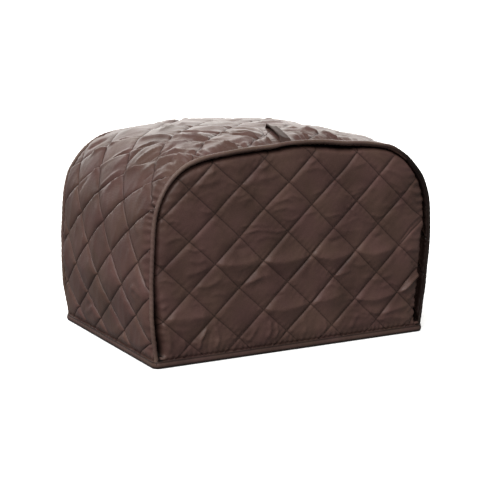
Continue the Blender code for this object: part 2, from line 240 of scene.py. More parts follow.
def right_arcs():
    """The right half's three arcs, each tangent to the next: centre, radius, first and last angle from +Z."""
    top = (0.0, HEIGHT - TOP_RADIUS)
    reach = TOP_RADIUS - CORNER_RADIUS
    corner = (reach * math.sin(TOP_ANGLE), top[1] + reach * math.cos(TOP_ANGLE))
    across = WIDTH / 2 - corner[0]
    down = HEM_STRAIGHT - corner[1]
    along = across * math.sin(CORNER_ANGLE) + down * math.cos(CORNER_ANGLE)
    side_radius = (across**2 + down**2 + CORNER_RADIUS**2 - 2 * CORNER_RADIUS * along) / (
        2 * (CORNER_RADIUS - along)
    )
    back_off = CORNER_RADIUS - side_radius
    side = (
        corner[0] + back_off * math.sin(CORNER_ANGLE),
        corner[1] + back_off * math.cos(CORNER_ANGLE),
    )
    last = math.acos((HEM_STRAIGHT - side[1]) / side_radius)
    return [
        (*top, TOP_RADIUS, 0.0, TOP_ANGLE),
        (*corner, CORNER_RADIUS, TOP_ANGLE, CORNER_ANGLE),
        (*side, side_radius, CORNER_ANGLE, last),
    ]


ARCS = right_arcs()
HALF_LENGTH = sum(radius * (last - first) for _, _, radius, first, last in ARCS) + HEM_STRAIGHT
LENGTH = 2 * HALF_LENGTH


def arch(length):
    """Seam line at lengths from the left hem: x, z and the outward direction's x and z."""
    length = np.asarray(length, float)
    side = np.where(length > HALF_LENGTH, 1.0, -1.0)
    left = np.abs(length - HALF_LENGTH)
    out = [side * WIDTH / 2, 0.0 * left, side.copy(), 0.0 * left]
    start = 0.0
    for x, z, radius, first, last in ARCS:
        run = radius * (last - first)
        here = (left >= start) & (left <= start + run)
        angle = first + (left - start) / radius
        across, up = np.sin(angle), np.cos(angle)
        for place, value in enumerate((side * (x + radius * across), z + radius * up, side * across, up)):
            out[place] = np.where(here, value, out[place])
        start += run
    out[1] = np.where(left > start, HEM_STRAIGHT - (left - start), out[1])
    return out


def to_seam(x, z):
    """Distance inside the seam line, the nearest arc's centre and radius, and whether it lies below them."""
    best = np.full(np.shape(x), 9.0)
    centre_x, centre_z, size = np.zeros_like(best), np.zeros_like(best), np.ones_like(best)
    for arc_x, arc_z, radius, first, last in ARCS:
        across, up = np.abs(x) - arc_x, z - arc_z
        turn = np.arctan2(across, up)
        far = radius - np.hypot(across, up)
        here = (turn >= first) & (turn <= last) & (far < best)
        best = np.where(here, far, best)
        centre_x = np.where(here, arc_x, centre_x)
        centre_z = np.where(here, arc_z, centre_z)
        size = np.where(here, radius, size)
    low = z < HEM_STRAIGHT
    best = np.where(low, WIDTH / 2 - np.abs(x), best)
    return best, centre_x, centre_z, size, low


def settle(points):
    """The front's right-hand seam leans out, and back behind the panel's face, and its crest dips."""
    x, y, z = points[..., 0], points[..., 1], points[..., 2]
    near = ramp(x, 0.132, 0.016) * ramp(-y, 0.050, 0.050)
    near = near * ramp(z, 0.010, 0.030) * (1.0 - ramp(z, 0.164, 0.030))
    lean = SEAM_LEAN * near * bell(z, 0.122, 0.058)
    dip = ramp(x, -0.128, 0.030) * (1.0 - ramp(x, -0.030, 0.030)) + 0.6 * bell(x, 0.052, 0.018)
    dip = CREST_DIP * dip * ramp(-y, 0.060, 0.046) * ramp(z, 0.150, 0.030)
    return np.stack([x + lean, y + SEAM_SETBACK * near, z - dip], -1)


# ---- meshes
def linked(name, points, faces):
    """A smooth mesh in the scene."""
    mesh = bpy.data.meshes.new(name)
    mesh.from_pydata(points.reshape(-1, 3).tolist(), [], faces)
    mesh.shade_smooth()
    obj = bpy.data.objects.new(name, mesh)
    bpy.context.scene.collection.objects.link(obj)
    return obj


def lattice(count, first, last):
    """Places along a grid line of the quilting, closer together beside each line of stitching."""
    step = np.arange(count) / count
    step = step - 0.50 * np.sin(2 * np.pi * step) / (2 * np.pi)
    return np.concatenate([whole + step for whole in range(first, last)] + [[last]])


def cloth_mesh(name, outer, inner, inside, uv, near_seam):
    """A closed sheet from grids of outer and inner points, without the cells that lie outside the cut."""
    index = np.arange(inside.size).reshape(inside.shape)
    keep = inside[:-1, :-1] | inside[1:, :-1] | inside[:-1, 1:] | inside[1:, 1:]
    quads = np.stack([index[:-1, :-1], index[1:, :-1], index[1:, 1:], index[:-1, 1:]], -1)[keep]
    used, quads = np.unique(quads, return_inverse=True)
    quads = quads.reshape(-1, 4)
    count = len(used)
    edges = np.concatenate([quads[:, [k, (k + 1) % 4]] for k in range(4)])
    _, where, uses = np.unique(np.sort(edges, axis=1), axis=0, return_index=True, return_counts=True)
    rim = edges[where[uses == 1]]
    rim_faces = np.stack([rim[:, 1], rim[:, 0], rim[:, 0] + count, rim[:, 1] + count], -1)
    faces = np.concatenate([quads, quads[:, ::-1] + count, rim_faces])
    obj = linked(name, np.concatenate([face.reshape(-1, 3)[used] for face in (outer, inner)]), faces.tolist())
    mesh = obj.data
    loops = np.zeros(len(mesh.loops), np.int32)
    mesh.loops.foreach_get("vertex_index", loops)
    both = np.tile(uv.reshape(-1, 2)[used], (2, 1))
    mesh.uv_layers.new(name="quilt").data.foreach_set("uv", both[loops].ravel())
    near = mesh.attributes.new("near_seam", "FLOAT", "POINT")
    near.data.foreach_set("value", np.tile(near_seam.reshape(-1)[used], 2))
    return obj


def tube_faces(rings, around, closed=False):
    """Quads between rings of points, and the two end faces."""
    ring, k = np.meshgrid(np.arange(rings if closed else rings - 1), np.arange(around), indexing="ij")
    after, beside = (ring + 1) % rings * around, (k + 1) % around
    quads = np.stack([ring * around + k, ring * around + beside, after + beside, after + k], -1)
    caps = np.stack([np.arange(around)[::-1], (rings - 1) * around + np.arange(around)])
    return quads.reshape(-1, 4), caps


def swept(name, sections, closed):
    """A skin through rings of points, closed into a loop or with its ends capped."""
    quads, caps = tube_faces(*sections.shape[:2], closed)
    return linked(name, sections, quads.tolist() + ([] if closed else caps.tolist()))


# ---- panels
# A row is a fold: x and z of its points, its reach above and below, and its height, all in millimetres
PANEL_FOLD_SCALE = 1.22
FRONT_FOLDS = (
    # the upper packing fold, broken up by the quilting
    (-124, 86, -110, 88, -96, 92, 8, 6, 1.0), (-94, 94, -68, 91, -38, 95, 14, 26, 2.2),
    (-44, 92, -18, 89, 18, 93, 16, 28, 2.5), (8, 93, 38, 87, 72, 92, 17, 28, 2.5),
    (62, 92, 88, 87, 118, 92, 16, 26, 2.2), (118, 90, 132, 88, 146, 90, 10, 7, 1.0),
    (20, 114, 38, 104, 58, 109, 4, 7, -0.9), (76, 112, 90, 104, 104, 108, 4, 6, -0.8),
    (-80, 110, -66, 106, -52, 108, 4, 4, -0.5),
    # the lower packing fold
    (-148, 47, -122, 45, -92, 46, 15, 24, 2.0), (-46, 46, -18, 42, 18, 46, 13, 24, 2.2),
    (10, 47, 30, 46, 58, 52, 13, 20, 1.8), (24, 57, 38, 62, 52, 58, 4, 6, 0.8),
    (58, 44, 92, 40, 128, 46, 11, 8, 1.6), (70, 30, 100, 25, 140, 31, 9, 7, 1.5),
    (86, 18, 112, 20, 140, 15, 5, 5, 0.8), (96, 52, 112, 55, 122, 50, 4, 4, 0.8),
    (-36, 60, -28, 55, -12, 58, 5, 5, -0.7),
    # between the two
    (-114, 76, -100, 73, -82, 80, 8, 5, 1.2), (-66, 72, -50, 74, -36, 80, 10, 6, 1.5),
    (-50, 86, -44, 78, -40, 70, 4, 4, 0.7), (-96, 64, -88, 66, -76, 62, 4, 3, 0.7),
    (28, 78, 46, 70, 64, 74, 7, 5, 1.0), (74, 66, 96, 60, 114, 66, 7, 6, 1.0),
    (60, 80, 72, 76, 86, 82, 5, 3, 0.6),
    # fine waves above the upper fold
    (-62, 120, -44, 123, -24, 119, -6, 121, 3, 2.5, 1.0), (-66, 127, -48, 128, -30, 125, 3, 2.5, 0.8),
    (-50, 112, -36, 116, -20, 112, 3, 2.5, 0.8), (-6, 128, 8, 134, 22, 136, 3, 3, 0.5),
    (28, 128, 44, 131, 58, 127, 3, 3, 0.7), (48, 138, 60, 132, 66, 124, 3, 3, -0.6),
    (-96, 138, -88, 132, -80, 124, 3, 3, 0.6), (-122, 112, -112, 108, -100, 110, 4, 3, 0.9),
    (-146, 117, -132, 122, -120, 121, 4, 4, 0.8), (-144, 134, -136, 138, -126, 136, 4, 3, 0.5),
    (-120, 100, -108, 97, -98, 100, 4, 3, 0.7),
    # the upper part, softly lit
    (-112, 170, -98, 172, -84, 176, 12, 6, 0.9), (-64, 146, -56, 154, -50, 160, 6, 6, 0.8),
    (-46, 172, -30, 174, -16, 178, 12, 5, 0.8), (-20, 150, -8, 153, 6, 148, 5, 4, 0.7),
    (4, 176, 20, 178, 34, 174, 9, 5, 0.8), (60, 176, 76, 180, 92, 174, 9, 5, 0.8),
    (58, 152, 72, 155, 90, 152, 7, 4, 0.6), (88, 188, 98, 181, 106, 172, 4, 4, 0.7),
    (104, 160, 116, 154, 126, 148, 5, 5, 0.6), (98, 136, 112, 133, 126, 137, 5, 4, 0.6),
    (-110, 184, -99, 181, -88, 184, 8, 5, 1.0), (-74, 160, -65, 156, -55, 160, 5, 4, 0.9),
    (-68, 150, -58, 154, -49, 151, 4, 4, 0.8), (-52, 186, -41, 183, -30, 187, 7, 5, 1.0),
    (-28, 147, -14, 150, -4, 147, 4, 3, 0.8), (-32, 139, -16, 142, 0, 138, 3, 3, 0.7),
    (-2, 186, 12, 183, 26, 188, 6, 5, 0.9), (48, 151, 60, 148, 73, 152, 4, 4, 0.8),
    (54, 139, 62, 134, 66, 127, 3, 3, 1.0), (98, 173, 112, 168, 126, 160, 4, 4, 0.8),
    (108, 151, 120, 147, 134, 150, 4, 3, 0.8), (-140, 158, -131, 154, -122, 157, 5, 4, 0.8),
    (-108, 146, -97, 143, -86, 147, 5, 4, 0.7), (-20, 132, -8, 129, 2, 133, 3, 3, 0.6),
    (14, 152, 26, 155, 36, 151, 4, 3, 0.6), (82, 128, 94, 124, 104, 127, 4, 3, 0.7),
    # upright wrinkles that rise from the hem
    (-108, 10, -106, 22, -98, 36, 4, 3, 1.8), (-92, 36, -87, 24, -90, 10, 4, 3, 1.8),
    (-99, 10, -98, 20, -95, 32, 2.5, 2.5, -1.3), (-138, 12, -137, 24, -140, 36, 4, 3, 1.3),
    (-126, 10, -122, 18, -124, 28, 3, 3, 1.0), (-34, 14, -30, 24, -32, 34, 4, 3, 1.6),
    (-24, 32, -22, 22, -27, 12, 3, 3, 1.4), (-56, 14, -50, 20, -44, 30, 4, 3, 1.1),
    (8, 12, 10, 22, 6, 32, 4, 4, 0.8), (28, 10, 34, 18, 32, 30, 4, 4, 1.0),
    (62, 12, 66, 22, 74, 30, 4, 4, 1.0),
    # creases drawn to the right-hand seam
    (118, 92, 134, 106, 151, 120, 3, 6, 1.8), (120, 96, 134, 111, 147, 122, 2.5, 3, -1.0),
    (122, 44, 134, 52, 149, 63, 2.5, 8, 2.6), (124, 50, 136, 60, 151, 71, 2.5, 3, -1.9),
    (134, 76, 141, 69, 148, 63, 3, 3, -1.1), (130, 34, 138, 40, 147, 47, 3, 4, 1.1),
    (136, 44, 141, 37, 148, 30, 2.5, 3, -1.0), (130, 22, 139, 27, 148, 34, 3, 3, 0.9),
    (134, 33, 141, 26, 148, 20, 2.5, 3, -0.9), (126, 12, 136, 15, 147, 22, 3, 4, 0.8),
    (122, 84, 136, 87, 148, 84, 4, 3, 0.8), (134, 140, 141, 131, 147, 124, 4, 3, -0.8),
    (128, 152, 138, 146, 146, 138, 4, 4, 0.8), (130, 100, 140, 98, 149, 100, 3, 3, 0.7),
    # and to the left-hand one
    (-150, 100, -144, 97, -136, 98, 3, 3, 0.7), (-151, 60, -145, 58, -138, 60, 3, 3, 0.7),
    (-150, 82, -142, 84, -132, 80, 4, 3, 0.8),
)
BACK_FOLDS = (
    (-120, 95, -70, 91, -20, 96, 12, 3, 1.5), (-10, 96, 40, 92, 104, 97, 12, 3, 1.6),
    (-130, 47, -80, 44, -24, 49, 12, 3, 1.4), (-14, 47, 50, 43, 120, 49, 11, 4, 1.3),
    (-60, 130, -30, 126, 4, 132, 6, 4, 0.8), (30, 150, 60, 146, 92, 153, 7, 4, 0.8),
    (-104, 160, -76, 164, -50, 158, 8, 5, 0.8), (-20, 176, 10, 179, 44, 174, 9, 5, 0.8),
    (-96, 12, -92, 24, -98, 38, 4, 3, 1.0), (-40, 12, -34, 24, -38, 36, 4, 3, 0.9),
    (20, 12, 25, 22, 22, 34, 4, 4, 0.8), (84, 12, 80, 24, 86, 36, 4, 3, 0.9),
    (116, 92, 132, 105, 148, 112, 3, 5, 1.1), (-148, 72, -136, 64, -122, 60, 3, 5, 1.1),
    (-148, 118, -134, 112, -120, 110, 4, 4, 0.9), (120, 52, 134, 58, 148, 66, 3, 5, 1.2),
)

# The crevice behind the piping: turn in degrees from the top's middle, reach and depth in millimetres
CREVICE_CENTRE = 0.08
CREVICE = (
    (-117, 9.4, 10), (-106, 9.6, 10), (-97, 8.2, 9), (-90, 6.2, 8), (-60, 4.8, 7.5), (-45, 5.8, 8),
    (-30, 5.2, 8), (-18, 5.9, 9), (-8, 6.0, 9), (4, 5.8, 7.5), (15, 7.2, 8), (28, 7.4, 8.5), (40, 5.2, 7),
    (52, 3.8, 5.5), (62, 4.8, 7), (75, 7.0, 10), (90, 8.2, 12), (105, 8.2, 12), (117, 8.0, 11),
)

# Height and length of the gathers beside the seam, and of the tucks over the binding
PANEL_GATHER = (0.0010, 0.0085)
PANEL_HEM_TUCK = (0.00065, 0.0060)


def wander(x, z, seed):
    """How far the stitch lines stray from the straight."""
    return WANDER * noise(x / WANDER_PATCH, z / WANDER_PATCH, seed)


def panel_places(a, b, crossing, seed):
    """x and z of the quilting's (a, b), where whole numbers are lines of stitching."""
    straight_x = crossing[0] + PANEL_DIAMOND[0] * (a + b) / 2
    straight_z = crossing[1] + PANEL_DIAMOND[1] * (a - b) / 2
    x, z = straight_x, straight_z
    for _ in range(2):
        x = straight_x - wander(x, z, seed + 20)
        z = straight_z - wander(x, z, seed + 21)
    return x, z


def panel_crevice(x, z, seam, seed):
    """How deep the panel sinks in behind the piping, and how far from the seam that reaches."""
    turn = np.degrees(np.arctan2(x, z - CREVICE_CENTRE))
    turns, reaches, depths = zip(*CREVICE)
    reach = np.interp(turn, turns, reaches) / 1000.0
    jitter = 0.17 * noise(turn / 6.0, 0.0, seed + 30) + 0.10 * noise(turn / 2.0, 0.0, seed + 31)
    reach = reach * (1.0 + jitter * (1.0 - 0.6 * ramp(z, 0.150, 0.040)))
    inward = np.maximum(seam, 0.0)
    depth = np.interp(turn, turns, depths) / 1000.0 * ramp(z, 0.0082, 0.0050)
    wide = 0.0018 * (1.0 - hem_fade(z)) * bell(inward, 0.0, 0.020)
    return depth * bell(inward, 0.0, reach, 5) + wide, reach


def panel_level(x, z, crossing, seed, front):
    """How far the face stands off the seam, the quilting's (a, b), and the seam's distance in reaches."""
    column = (x + wander(x, z, seed + 20) - crossing[0]) / PANEL_DIAMOND[0]
    row = (z + wander(x, z, seed + 21) - crossing[1]) / PANEL_DIAMOND[1]
    a, b = column + row, column - row
    seam = to_seam(x, z)[0]
    crevice, reach = panel_crevice(x, z, seam, seed)
    puffed = pillow(a, b)
    swell = puffed * ramp(seam, 0.001, 0.012) * (0.15 + 0.85 * ramp(z, 0.0075, 0.011))
    level = HEM_SPREAD - crevice + PANEL_PUFF * swell
    # Packing folds, and fine creases in patches
    inner = ramp(seam, 0.0, 0.010) * ramp(z, 0.009, 0.006)
    folds = PANEL_FOLD_SCALE * sum(crease(x, z, fold) for fold in (FRONT_FOLDS if front else BACK_FOLDS))
    fine = 0.00056 * crumple(z + 0.15 * x, x, 0.0110, 0.034, seed + 50)
    fine = fine + 0.00034 * crumple(x - 0.4 * z, z, 0.0090, 0.026, seed + 55)
    fine = fine * smooth(0.55 + 0.8 * noise(x / 0.060, z / 0.045, seed + 57))
    level += inner * (folds * (0.25 + 0.75 * puffed.clip(0, 1)) + fine * puffed)
    level += inner * 0.00034 * puckers(a, b, PANEL_SIDE, 0.0058, seed)
    upright = 0.00060 * streaks(x, z, 0.0100, 0.045, seed + 60) * (1.0 - ramp(z, 0.020, 0.014))
    level += upright * ramp(z, 0.008, 0.004) * ramp(seam, 0.0, 0.008)
    # Gathers: the seam and the binding hold the cloth in small tucks
    height, length = PANEL_GATHER
    run = np.where(np.abs(x) > np.abs(z - 0.1), z, x)
    strength = 0.25 + 0.75 * smooth(0.5 + noise(run / 0.030, 1.0, seed + 71))
    held = (1.0 - 0.65 * ramp(-x, 0.0, 0.05) * front) * (1.0 - 0.85 * ramp(z, 0.140, 0.040))
    gather = height * held * waves(run, length, 5.0, 0.02, seed + 70) * strength
    level += gather * (1.0 - hem_fade(z)) * bell(seam, 0.0085, 0.0050)
    height, length = PANEL_HEM_TUCK
    level += height * waves(x, length, 3.0, 0.02, seed + 72) * bell(z, 0.0094, 0.0024)
    level -= 0.0017 * bell(z, 0.0074, 0.0013)
    return level, a, b, seam / reach


def panel_points(x, z, level, turn):
    points = np.stack([x * turn, -turn * (DEPTH / 2 + level), z], -1)
    return settle(points) if turn > 0 else points


def make_panel(name, crossing, seed, turn):
    a, b = np.meshgrid(lattice(PANEL_STEPS, -6, 9), lattice(PANEL_STEPS, -10, 6), indexing="ij")
    x, z = panel_places(a, b, crossing, seed)
    seam, centre_x, centre_z, size, low = to_seam(x, z)
    inside = (seam > PANEL_TUCK) & (z > HEM_TUCK)
    # Points past the cut move onto it
    past = (seam < PANEL_TUCK) & ~low
    across, up = np.abs(x) - centre_x, z - centre_z
    shrink = (size - PANEL_TUCK) / np.maximum(np.hypot(across, up), 1e-9)
    x = np.where(past, np.sign(x) * (centre_x + across * shrink), x)
    z = np.where(past, centre_z + up * shrink, z)
    x = np.where(low, np.clip(x, -WIDTH / 2 + PANEL_TUCK, WIDTH / 2 - PANEL_TUCK), x)
    z = np.maximum(z, HEM_TUCK)
    level, a, b, reaches = panel_level(x, z, crossing, seed, turn > 0)
    free = ramp(to_seam(x, z)[0], 0.0, 0.012) * ramp(z, 0.008, 0.010)
    inner_level = level - CLOTH - INNER_PUFF * PANEL_PUFF * pillow(a, b) * free
    outer, inner = (panel_points(x, z, face, turn) for face in (level, inner_level))
    # The seam's distance in reaches, stored as near_seam, places the painted shade of the crevice
    return cloth_mesh(name, outer, inner, inside, np.stack([a, b], -1), np.maximum(reaches, 0.0))


# ---- gusset
# A row is a fold: length from the left hem and place across of its points, reaches and height, in millimetres
GUSSET_FOLD_SCALE = 1.9
GUSSET_FOLDS = (
    (298, -103, 307, -72, 319, -38, 6, 6, -2.8), (150, -6, 170, -30, 186, -60, 4, 8, 1.4),
    (140, 24, 158, 4, 176, -20, 4, 8, 1.4), (160, 40, 180, 18, 200, -4, 4, 8, 1.5),
    (176, 66, 196, 48, 214, 30, 4, 8, 1.4), (206, 10, 222, -14, 236, -40, 4, 8, 1.6),
    (222, -20, 240, -46, 258, -72, 4, 8, 1.6), (240, 4, 262, -28, 284, -58, 4, 8, 1.6),
    (260, 30, 282, 2, 304, -30, 4, 8, 1.4), (196, -56, 212, -74, 226, -94, 4, 8, 1.5),
    (236, -72, 252, -84, 262, -100, 4, 8, 1.6), (282, -64, 294, -84, 300, -102, 4, 8, 1.6),
    (324, -56, 334, -78, 340, -100, 4, 8, 1.4), (348, -60, 362, -80, 372, -100, 4, 8, 1.4),
    (176, -16, 198, -21, 213, -35, 4, 5, -1.6), (186, -6, 202, -13, 216, -26, 4, 4, 1.2),
    (182, -34, 198, -42, 212, -46, 5, 4, 1.3), (186, -49, 204, -58, 220, -59, 4, 5, -1.7),
    (190, -68, 206, -70, 222, -74, 5, 4, 1.2), (166, -64, 186, -76, 197, -84, 198, -98, 4, 4, -1.7),
    (162, -76, 178, -86, 188, -96, 4, 4, 1.1), (221, -66, 238, -59, 250, -66, 4, 5, -1.7),
    (224, -78, 240, -74, 256, -82, 5, 4, 1.3), (250, -36, 262, -48, 262, -64, 5, 5, -1.2),
    (238, -30, 248, -44, 246, -56, 6, 5, 1.2), (268, -62, 286, -78, 300, -92, 4, 6, -1.7),
    (276, -44, 292, -58, 304, -78, 6, 5, 1.3), (284, -18, 300, -44, 306, -70, 5, 5, -1.0),
    (244, -90, 262, -94, 280, -92, 4, 4, 0.9), (200, -90, 216, -86, 232, -92, 4, 4, 0.9),
    (330, -60, 344, -76, 352, -94, 5, 5, -1.3), (344, -48, 360, -66, 372, -88, 6, 5, 1.2),
    (366, -70, 384, -80, 398, -92, 5, 5, -1.2), (396, -62, 412, -72, 430, -82, 6, 5, 1.1),
    (420, -52, 440, -62, 458, -80, 5, 5, -1.2), (142, 58, 152, 50, 158, 40, 5, 5, -1.0),
    (190, 44, 204, 36, 214, 22, 6, 5, 0.9), (184, 88, 194, 76, 204, 66, 5, 5, -1.3),
    (236, 30, 260, 48, 276, 66, 5, 7, -1.3), (226, 10, 252, 22, 280, 40, 8, 6, 1.1),
    (290, 6, 320, 20, 352, 24, 9, 6, -1.1), (300, -12, 334, -8, 370, -16, 8, 7, 1.1),
    (352, 30, 384, 24, 420, 34, 9, 7, 1.1), (380, -2, 410, -14, 444, -10, 7, 8, -1.1),
    (250, 74, 286, 84, 322, 78, 8, 7, 1.0), (330, 62, 364, 74, 400, 68, 8, 8, -1.0),
    (420, 60, 448, 48, 474, 52, 8, 7, 1.0), (468, -20, 486, -34, 500, -40, 6, 5, -1.2),
    (470, 20, 490, 10, 510, 14, 6, 6, 1.0), (120, -88, 132, -80, 150, -84, 4, 4, 0.8),
    (60, -84, 68, -76, 78, -84, 4, 4, 0.8), (66, -96, 72, -84, 74, -74, 3, 3, 0.9),
    (20, 50, 28, 30, 40, 18, 5, 5, 0.7), (30, 40, 36, 28, 46, 24, 4, 5, -0.8),
    (12, -60, 26, -66, 40, -62, 5, 5, 0.6), (96, 60, 110, 54, 126, 58, 5, 6, 0.7),
    (56, 82, 72, 90, 90, 88, 6, 6, 0.8),
)

# Height of the gathers on the sides and on top, and their length. Height and length of the tucks at the hem
SIDE_GATHER, TOP_GATHER, GATHER_LENGTH = 0.00230, 0.00160, 0.0082
GUSSET_HEM_TUCK = (0.00075, 0.0062)


def bunching(ahead):
    """How far the rows are out of step at a length past the first crossing."""
    return ROW_WAVE * np.sin(2 * np.pi * (ahead - 0.002) / ROW_PERIOD)


def drift(ahead):
    """How far across the crossings of the lines lie there."""
    sway = GRAIN_WAVE * np.cos(2 * np.pi * (ahead - 0.005) / GRAIN_PERIOD)
    return GUSSET_CROSSING[1] + GUSSET_SKEW * ahead + sway


def gusset_lines(length, y):
    """The quilting's (a, b) at a length and a place across."""
    ahead = length - GUSSET_CROSSING[0]
    row = (ahead - bunching(ahead)) / GUSSET_DIAMOND[1]
    column = (y - drift(ahead)) / GUSSET_DIAMOND[0]
    return column + row, column - row


def gusset_places(a, b):
    """The other way round, by a few corrections."""
    column, row = (a + b) / 2, (a - b) / 2
    ahead = row * GUSSET_DIAMOND[1]
    for _ in range(12):
        ahead = row * GUSSET_DIAMOND[1] + bunching(ahead)
    return GUSSET_CROSSING[0] + ahead, drift(ahead) + column * GUSSET_DIAMOND[0]


def gusset_base(length, y):
    """The strip's bulge between its seams."""
    height = np.minimum(length, LENGTH - length)
    fade = hem_fade(height)
    up = np.maximum(arch(length)[3], 0.0)
    across = np.clip(np.abs(y) / HALF_GUSSET, 0.0, 1.0)
    bulge = SIDE_BULGE + (TOP_BULGE - SIDE_BULGE) * up**2
    bulge = bulge * ramp(height, HEM_STRAIGHT, BULGE_RISE) * (1.0 - across**BULGE_POWER)
    return bulge + HEM_SPREAD * fade - SEAM_SINK * (1.0 - fade)


def strap_distance(x, y):
    """Distance from the middle line of the strap."""
    along_x, along_y = STRAP_BACK[0] - STRAP_FRONT[0], STRAP_BACK[1] - STRAP_FRONT[1]
    share = ((x - STRAP_FRONT[0]) * along_x + (y - STRAP_FRONT[1]) * along_y) / (along_x**2 + along_y**2)
    share = np.clip(share, 0.0, 1.0)
    return np.hypot(x - STRAP_FRONT[0] - share * along_x, y - STRAP_FRONT[1] - share * along_y)


def gusset_gathers(length, y, height, up, edge):
    """Gathers beside both seams, strongest at the corners and at the front of the top."""
    run = 2 * np.pi * length / GATHER_LENGTH + 6.0 * noise(length / 0.022, 0.0, 14)
    corner = bell(height, 0.185, 0.055)
    patchy = smooth(0.55 + 0.8 * noise(length / 0.030, np.sign(y), 15))
    strength = (0.25 + 0.75 * np.maximum(up * 0.8, corner)) * (0.55 * up + (1.0 - 0.55 * up) * patchy)
    strength = strength * (1.0 - 0.75 * up * ramp(y, 0.0, 0.05))
    band = bell(edge, 0.0055 + 0.0045 * up, 0.0052 + 0.0020 * up)
    gather = (1.0 - up) * SIDE_GATHER * np.sin(run) + up * TOP_GATHER * np.sin(1.45 * run)
    return gather * strength * band


def gusset_level(length, y):
    """How far the face stands off the seam line, the quilting's (a, b), and the distance to the edge."""
    a, b = gusset_lines(length, y)
    x, _, _, out_z = arch(length)
    up = ramp(out_z, 0.25, 0.6)
    height = np.minimum(length, LENGTH - length)
    free = 1.0 - hem_fade(height)
    edge = HALF_GUSSET - np.abs(y)
    rise = ramp(height, 0.120, 0.060)
    puffed = pillow(a, b, ramp(height, 0.080, 0.060), 0.05 + 0.10 * rise, 0.62 - 0.24 * rise, rise)
    swell = puffed * ramp(edge, 0.0, 0.013) * (0.12 + 0.88 * ramp(height, 0.0075, 0.011))
    # On the right shoulder the cloth is drawn tight
    calm = 1.0 - 0.60 * ramp(length, 0.370, 0.045) * (1.0 - ramp(length, 0.490, 0.060))
    level = gusset_base(length, y) + GUSSET_PUFF * (0.25 + 0.75 * calm) * swell
    level -= 0.0022 * (1.0 - calm) * ramp(edge, 0.0, 0.030) * free
    inner = ramp(edge, 0.0, 0.009) * free
    folds = GUSSET_FOLD_SCALE * sum(crease(length, y, fold) for fold in GUSSET_FOLDS)
    level += calm * inner * folds * (0.35 + 0.65 * puffed.clip(0, 1))
    level += inner * (0.00022 + 0.00030 * up) * puckers(a, b, GUSSET_SIDE, 0.0068, 11)
    # Soft creases: upright on the sides, along the width on top, deepest near the front
    on_side = 0.00075 * crumple(y + 0.35 * length, length, 0.0150, 0.050, 12)
    front = 0.24 + 0.76 * ramp(-y, -0.02, 0.08)
    on_top = 0.00175 * front * crumple(y + 0.30 * length, length, 0.0230, 0.044, 13)
    on_top = on_top + 0.00075 * front * crumple(length - 0.3 * y, y, 0.0160, 0.034, 18)
    level += calm * inner * ((1 - up) * on_side + up * on_top) * (0.30 + 0.70 * puffed)
    level += gusset_gathers(length, y, height, up, edge) * free * calm
    # The seams draw the edge in, and the binding holds it in small tucks
    level -= 0.0015 * free * bell(edge, 0.0022, 0.0011)
    level -= PIPING_DRAW_IN * (drawn_in(height) - hem_fade(height)) * bell(edge, 0.0, 0.012)
    tuck, tuck_length = GUSSET_HEM_TUCK
    level += tuck * waves(y, tuck_length, 3.0, 0.02, 16) * bell(height, 0.0098, 0.0034)
    level -= 0.0018 * bell(height, 0.0074, 0.0016)
    # The strap presses the quilting down
    pressed = up * bell(strap_distance(x + 0.0015, y), 0.0, 0.0105, 4)
    level += (gusset_base(length, y) + 0.0010 - level) * pressed
    return level, a, b, edge


def gusset_points(length, y, level):
    x, z, out_x, out_z = arch(length)
    return settle(np.stack([x + level * out_x, y, z + level * out_z], -1))


def make_gusset(name):
    a, b = np.meshgrid(lattice(GUSSET_STEPS, -13, 23), lattice(GUSSET_STEPS, -23, 13), indexing="ij")
    length, y = gusset_places(a, b)
    inside = (np.abs(y) < HALF_GUSSET) & (length > HEM_TUCK) & (length < LENGTH - HEM_TUCK)
    length = np.clip(length, HEM_TUCK, LENGTH - HEM_TUCK)
    y = np.clip(y, -HALF_GUSSET, HALF_GUSSET)
    level, a, b, edge = gusset_level(length, y)
    height = np.minimum(length, LENGTH - length)
    # At the hem the strip steps in, to leave the binding its rounded corner
    narrower = hem_fade(height) * (BINDING_CORNER - 0.0035)
    narrower = narrower + PIPING_DRAW_IN * (drawn_in(height) - hem_fade(height))
    y = y * (1.0 - narrower / (DEPTH / 2))
    free = ramp(edge, 0.0, 0.012) * ramp(height, 0.008, 0.010)
    inner_level = level - CLOTH - INNER_PUFF * GUSSET_PUFF * pillow(a, b) * free
    outer, inner = (gusset_points(length, y, face) for face in (level, inner_level))
    # Distance to the front's right-hand seam, 1 elsewhere: it places the painted shade beside that seam
    near_right_seam = np.where((y < 0.0) & (length > LENGTH - 0.190), np.maximum(edge, 0.0), 1.0)
    return cloth_mesh(name, outer, inner, inside, np.stack([a, b], -1), near_right_seam)


# ---- piping, binding and strap
def make_piping(name, facing, seed):
    """Cord in a bias strip, which wrinkles slightly askew round it."""
    rings, around = 520, 16
    foot = BINDING_HEIGHT - 0.0016
    lengths = np.linspace(foot, LENGTH - foot, rings)
    x, z, out_x, out_z = arch(lengths)
    drawn = PIPING_DRAW_IN * drawn_in(z)
    shift = 0.00030 * noise(lengths / 0.016, 0.0, seed) - drawn
    centre = np.stack([x + shift * out_x, facing * (DEPTH / 2 - drawn), z + shift * out_z], -1)
    run, turn = lengths[:, None], 2 * np.pi * np.arange(around) / around
    wrinkle = 0.00012 * np.sin(2 * np.pi * run / 0.0052 + turn + 2.0 * noise(run / 0.02, turn, seed + 2))
    thick = PIPING_RADIUS * (1.0 + 0.07 * noise(run / 0.010, turn * 0.7, seed + 1)) + wrinkle
    thick = thick * (1.0 - 0.20 * ramp(x[:, None], 0.03, 0.07))
    outward = np.stack([out_x, 0.0 * out_x, out_z], -1)[:, None]
    round_it = np.cos(turn)[:, None] * outward - np.sin(turn)[:, None] * np.array([0.0, 1.0, 0.0])
    sections = centre[:, None] + thick[..., None] * round_it
    return swept(name, settle(sections) if facing < 0 else sections, False)


